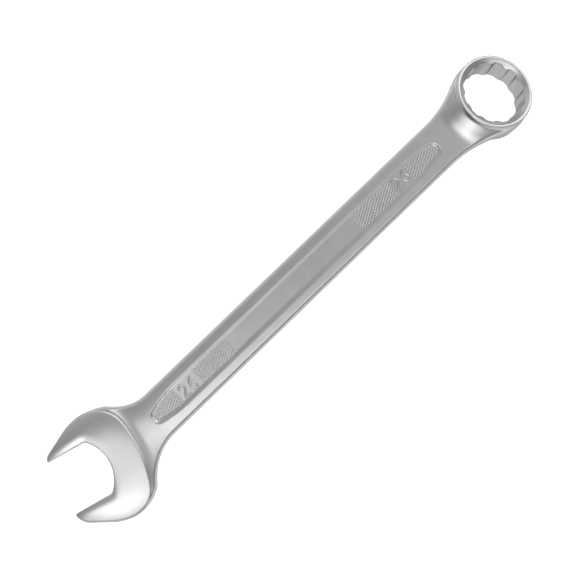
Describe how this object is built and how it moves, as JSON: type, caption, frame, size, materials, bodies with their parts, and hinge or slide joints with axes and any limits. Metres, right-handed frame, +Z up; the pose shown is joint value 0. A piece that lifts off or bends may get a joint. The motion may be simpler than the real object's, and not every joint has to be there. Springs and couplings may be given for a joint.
{
  "type": "combination wrench",
  "caption": "Combination wrench with an angled open jaw at one end, an offset 12-point ring at the other and a flat shank with a recessed panel on each side.",
  "frame": {"origin": "on the bench surface that the wrench lies on, under the middle of its length and width", "axes": "+X along the shank from the open jaw to the ring, +Y across the shank on the side that the jaw mouth turns to, +Z up from the bench"},
  "size_m": [0.2936, 0.0512, 0.0229],
  "materials": {
    "wrench_forging": "satin chrome plate over a forged chrome-vanadium body"
  },
  "bodies": {
    "root": {"wrench_forging": "wrench_forging"}
  },
  "joints": []
}
